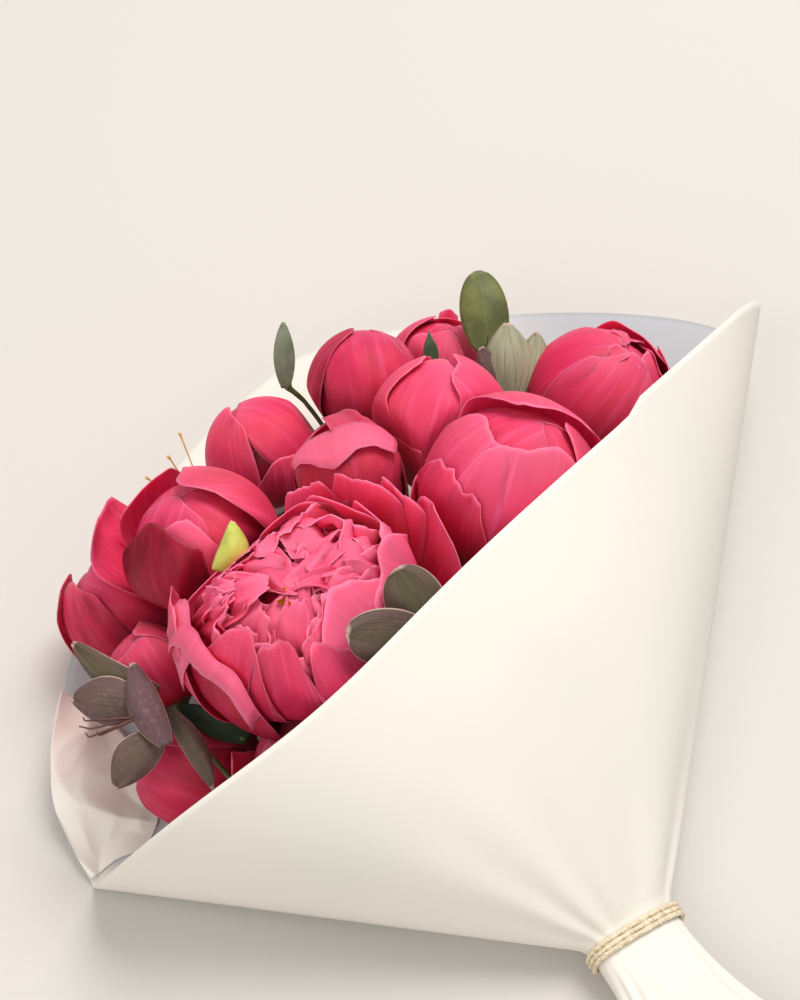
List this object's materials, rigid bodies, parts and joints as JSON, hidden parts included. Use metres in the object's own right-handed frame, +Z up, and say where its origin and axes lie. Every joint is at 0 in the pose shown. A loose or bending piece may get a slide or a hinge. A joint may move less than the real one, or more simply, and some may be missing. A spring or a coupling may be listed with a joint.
{
  "type": "wrapped peony bunch",
  "caption": "Hand-tied bunch of pink peonies with hellebores, lying in a white paper sleeve.",
  "frame": {"origin": "middle of the flat stretch of paper that the bunch rests on", "axes": "+Z up from the surface, +Y towards the flower heads, -Y towards the cut stems"},
  "size_m": [0.4536, 0.4781, 0.1491],
  "materials": {
    "petal": "satin petals",
    "stem": "matt green stems and leaves",
    "lime": "soft yellow-green",
    "sepal": "veined, matt",
    "sprig": "dry, matt",
    "paper": "matt, folded",
    "tissue": "thin, crumpled",
    "twine": "coarse"
  },
  "bodies": {
    "root": {"bloom_rear_left": "petal", "bloom_rear_right": "petal", "bloom_left_rear": "petal", "bloom_middle": "petal", "bloom_middle_left": "petal", "bloom_right": "petal", "bloom_cupped": "petal", "bloom_half_open": "petal", "bloom_left": "petal", "bloom_left_small": "petal", "bloom_left_front": "petal", "bloom_front": "petal", "bloom_open": "petal", "stem_rear_left": "stem", "stem_rear_right": "stem", "stem_left_rear": "stem", "stem_middle": "stem", "stem_middle_left": "stem", "stem_right": "stem", "stem_cupped": "stem", "stem_half_open": "stem", "stem_left": "stem", "stem_left_small": "stem", "stem_left_front": "stem", "stem_front": "stem", "stem_open": "stem", "stem_hellebore_left": "stem", "stem_hellebore_edge": "stem", "stem_hellebore_top": "stem", "stem_leaf_rear": "stem", "stem_leaf_middle": "stem", "sprigs": "sprig", "hellebore_left": "sepal", "hellebore_left_styles": "stem", "hellebore_edge": "sepal", "hellebore_top": "sepal", "curled_sepal": "lime", "wrap": "paper", "tissue": "tissue", "tie": "twine"}
  },
  "joints": []
}
